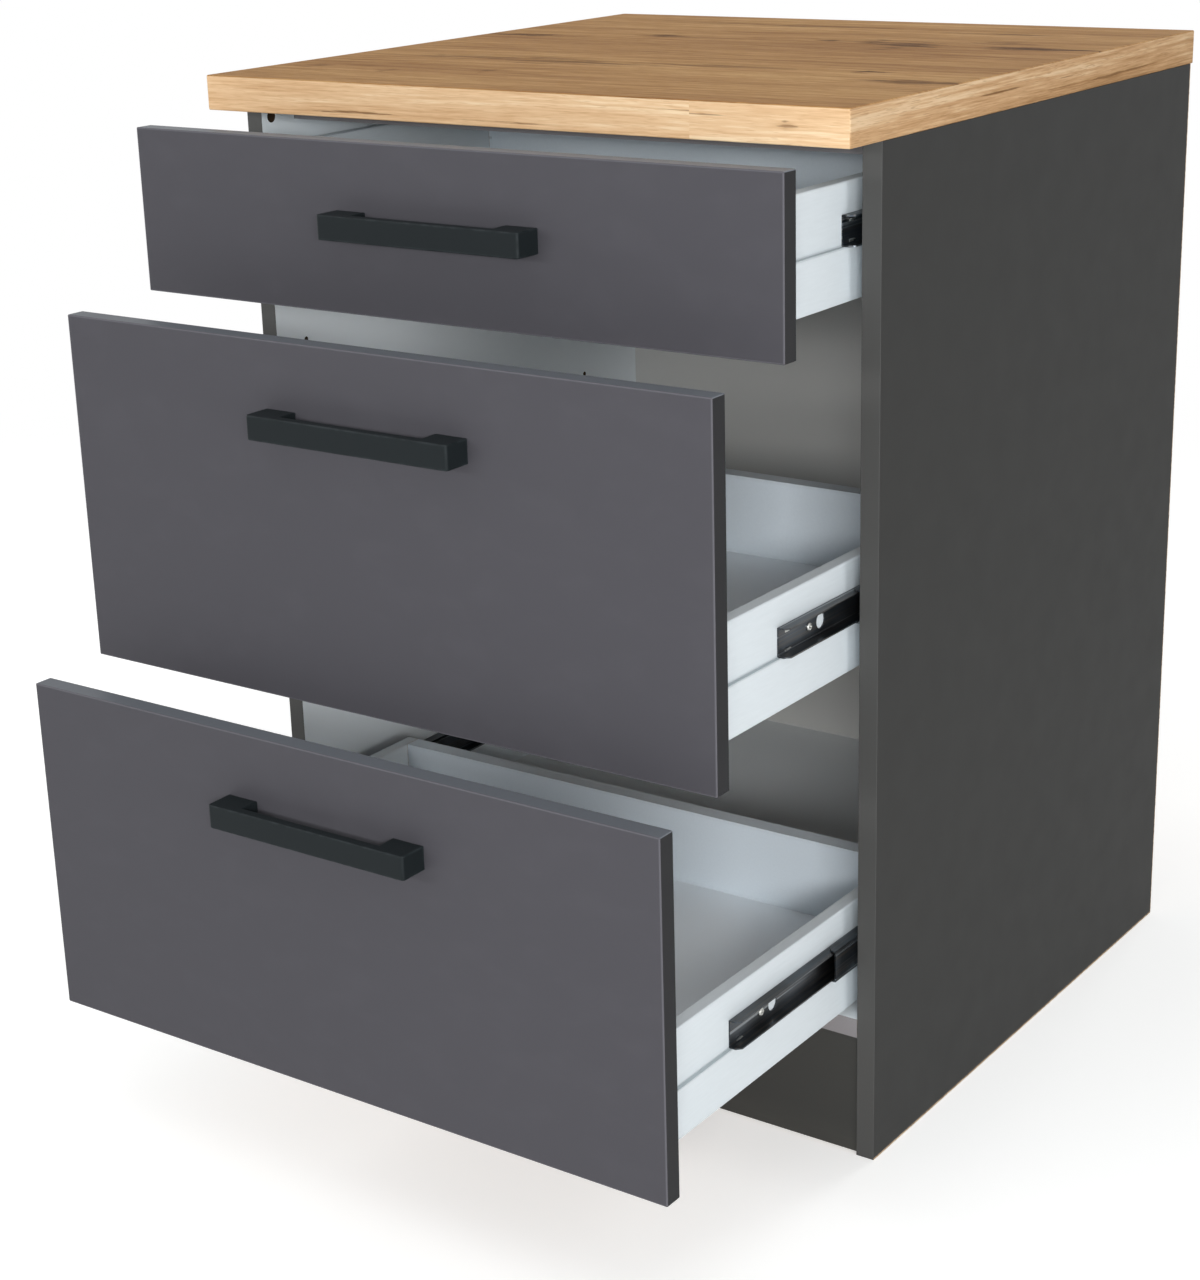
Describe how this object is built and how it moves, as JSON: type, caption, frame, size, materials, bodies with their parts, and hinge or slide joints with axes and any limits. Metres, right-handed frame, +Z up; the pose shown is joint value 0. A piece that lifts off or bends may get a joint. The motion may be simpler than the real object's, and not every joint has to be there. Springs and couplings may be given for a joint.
{
  "type": "kitchen base cabinet",
  "caption": "Kitchen base cabinet with an oak worktop, dark carcass and fronts, and white drawers that slide out on telescopic runners behind bow handles.",
  "frame": {"origin": "on the floor under the middle of the carcass footprint, drawers pulled out at rest", "axes": "+Z up, fronts face -Y, +X to the right seen from the front"},
  "size_m": [0.6, 0.871, 0.836],
  "materials": {
    "carcass_board": "satin anthracite decor",
    "front_board": "satin anthracite decor",
    "worktop_board": "oak decor laminate",
    "drawer_board": "white foil",
    "white_hardboard": "white lacquer",
    "runner_steel": "black zinc",
    "handle_black": "matt black",
    "fitting_zinc": "zinc plated",
    "dowel_wood": "beech"
  },
  "bodies": {
    "carcass": {"side_panel_left": "carcass_board", "side_panel_right": "carcass_board", "bottom_panel": "carcass_board", "top_rail_front": "carcass_board", "top_rail_rear": "carcass_board", "back_panel": "white_hardboard", "plinth": "carcass_board", "worktop": "worktop_board", "carcass_cams": "fitting_zinc", "carcass_cam_bolts": "fitting_zinc", "carcass_dowels": "dowel_wood", "worktop_screws": "fitting_zinc", "runner_screws": "fitting_zinc", "top_runner_cabinet_rail_left": "runner_steel", "top_runner_cabinet_rail_right": "runner_steel", "middle_runner_cabinet_rail_left": "runner_steel", "middle_runner_cabinet_rail_right": "runner_steel", "bottom_runner_cabinet_rail_left": "runner_steel", "bottom_runner_cabinet_rail_right": "runner_steel"},
    "top_drawer": {"top_drawer_front": "front_board", "top_drawer_handle": "handle_black", "top_drawer_handle_screws": "fitting_zinc", "top_drawer_side_left": "drawer_board", "top_drawer_side_right": "drawer_board", "top_drawer_back": "drawer_board", "top_drawer_base": "white_hardboard", "top_drawer_dowels": "dowel_wood", "top_drawer_rail_left": "runner_steel", "top_drawer_rail_right": "runner_steel", "top_drawer_rail_screws": "fitting_zinc"},
    "top_middle_rail_left": {"top_runner_middle_rail_left": "runner_steel"},
    "top_middle_rail_right": {"top_runner_middle_rail_right": "runner_steel"},
    "middle_drawer": {"middle_drawer_front": "front_board", "middle_drawer_handle": "handle_black", "middle_drawer_handle_screws": "fitting_zinc", "middle_drawer_side_left": "drawer_board", "middle_drawer_side_right": "drawer_board", "middle_drawer_back": "drawer_board", "middle_drawer_base": "white_hardboard", "middle_drawer_dowels": "dowel_wood", "middle_drawer_rail_left": "runner_steel", "middle_drawer_rail_right": "runner_steel", "middle_drawer_rail_screws": "fitting_zinc"},
    "middle_middle_rail_left": {"middle_runner_middle_rail_left": "runner_steel"},
    "middle_middle_rail_right": {"middle_runner_middle_rail_right": "runner_steel"},
    "bottom_drawer": {"bottom_drawer_front": "front_board", "bottom_drawer_handle": "handle_black", "bottom_drawer_handle_screws": "fitting_zinc", "bottom_drawer_side_left": "drawer_board", "bottom_drawer_side_right": "drawer_board", "bottom_drawer_back": "drawer_board", "bottom_drawer_base": "white_hardboard", "bottom_drawer_dowels": "dowel_wood", "bottom_drawer_rail_left": "runner_steel", "bottom_drawer_rail_right": "runner_steel", "bottom_drawer_rail_screws": "fitting_zinc"},
    "bottom_middle_rail_left": {"bottom_runner_middle_rail_left": "runner_steel"},
    "bottom_middle_rail_right": {"bottom_runner_middle_rail_right": "runner_steel"}
  },
  "joints": [
    {"name": "top_drawer_slide", "type": "slide", "parent": "carcass", "child": "top_drawer", "axis": [0, -1, 0], "range_m": [-0.112, 0.173]},
    {"name": "top_middle_rail_left_slide", "type": "slide", "parent": "carcass", "child": "top_middle_rail_left", "axis": [0, -1, 0], "range_m": [-0.056, 0.0865]},
    {"name": "top_middle_rail_right_slide", "type": "slide", "parent": "carcass", "child": "top_middle_rail_right", "axis": [0, -1, 0], "range_m": [-0.056, 0.0865]},
    {"name": "middle_drawer_slide", "type": "slide", "parent": "carcass", "child": "middle_drawer", "axis": [0, -1, 0], "range_m": [-0.203, 0.082]},
    {"name": "middle_middle_rail_left_slide", "type": "slide", "parent": "carcass", "child": "middle_middle_rail_left", "axis": [0, -1, 0], "range_m": [-0.1015, 0.041]},
    {"name": "middle_middle_rail_right_slide", "type": "slide", "parent": "carcass", "child": "middle_middle_rail_right", "axis": [0, -1, 0], "range_m": [-0.1015, 0.041]},
    {"name": "bottom_drawer_slide", "type": "slide", "parent": "carcass", "child": "bottom_drawer", "axis": [0, -1, 0], "range_m": [-0.274, 0.011]},
    {"name": "bottom_middle_rail_left_slide", "type": "slide", "parent": "carcass", "child": "bottom_middle_rail_left", "axis": [0, -1, 0], "range_m": [-0.137, 0.0055]},
    {"name": "bottom_middle_rail_right_slide", "type": "slide", "parent": "carcass", "child": "bottom_middle_rail_right", "axis": [0, -1, 0], "range_m": [-0.137, 0.0055]}
  ],
  "couplings": [
    {"joint": "top_middle_rail_left_slide", "follows": "top_drawer_slide", "ratio": 0.5},
    {"joint": "top_middle_rail_right_slide", "follows": "top_drawer_slide", "ratio": 0.5},
    {"joint": "middle_middle_rail_left_slide", "follows": "middle_drawer_slide", "ratio": 0.5},
    {"joint": "middle_middle_rail_right_slide", "follows": "middle_drawer_slide", "ratio": 0.5},
    {"joint": "bottom_middle_rail_left_slide", "follows": "bottom_drawer_slide", "ratio": 0.5},
    {"joint": "bottom_middle_rail_right_slide", "follows": "bottom_drawer_slide", "ratio": 0.5}
  ]
}
